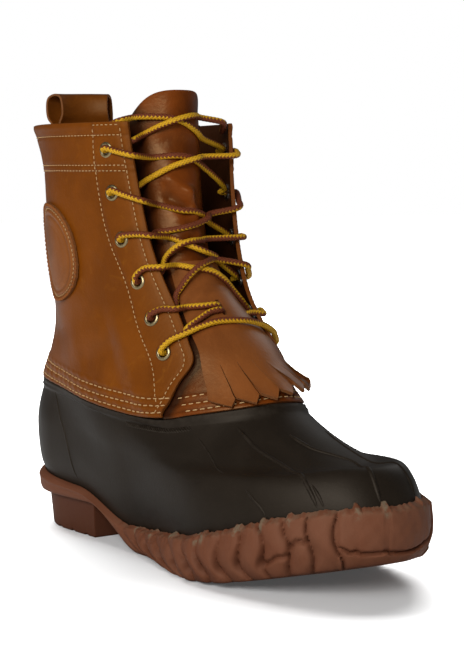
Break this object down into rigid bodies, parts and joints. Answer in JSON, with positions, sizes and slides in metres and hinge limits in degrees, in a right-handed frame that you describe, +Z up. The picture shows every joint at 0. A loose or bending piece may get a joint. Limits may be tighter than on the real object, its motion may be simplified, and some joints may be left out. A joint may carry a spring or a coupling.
{
  "type": "duck boot",
  "caption": "Right-foot laced leather duck boot with a moulded rubber bottom, lug outsole and heel, fringed false tongue and back pull loop.",
  "frame": {"origin": "on the floor under the middle of the heel block", "axes": "+Z up, the toe towards -Y, the outer side of the boot towards -X"},
  "size_m": [0.1139, 0.314, 0.2588],
  "materials": {
    "shell_rubber": "dark brown moulded rubber, satin",
    "sole_rubber": "red-brown crepe rubber, matt",
    "heel_rubber": "red-brown crepe rubber, matt",
    "insole_felt": "felt footbed",
    "shaft_leather": "smooth tan leather, soft gloss",
    "tongue_leather": "smooth red-tan leather, soft gloss",
    "kiltie_leather": "smooth red-tan leather, soft gloss",
    "backstay_leather": "smooth tan leather, soft gloss",
    "loop_leather": "smooth tan leather, soft gloss",
    "patch_leather": "smooth tan leather, plain, stitched round its edge",
    "eyelet_brass": "aged brass",
    "lace": "round woven cord, yellow with a dark red-brown chevron"
  },
  "bodies": {
    "root": {"rubber_shell": "shell_rubber", "outsole": "sole_rubber", "heel": "heel_rubber", "insole": "insole_felt", "leather_shaft": "shaft_leather", "tongue": "tongue_leather", "kiltie": "kiltie_leather", "backstay": "backstay_leather", "pull_loop": "loop_leather", "side_patch": "patch_leather", "eyelet_outer_1": "eyelet_brass", "eyelet_outer_2": "eyelet_brass", "eyelet_outer_3": "eyelet_brass", "eyelet_outer_4": "eyelet_brass", "eyelet_outer_5": "eyelet_brass", "eyelet_outer_6": "eyelet_brass", "eyelet_inner_1": "eyelet_brass", "eyelet_inner_2": "eyelet_brass", "eyelet_inner_3": "eyelet_brass", "eyelet_inner_4": "eyelet_brass", "eyelet_inner_5": "eyelet_brass", "eyelet_inner_6": "eyelet_brass", "lace_cross_1": "lace", "lace_cross_2": "lace", "lace_cross_3": "lace", "lace_cross_4": "lace", "lace_cross_5": "lace", "lace_bar": "lace", "lace_top": "lace"}
  },
  "joints": []
}
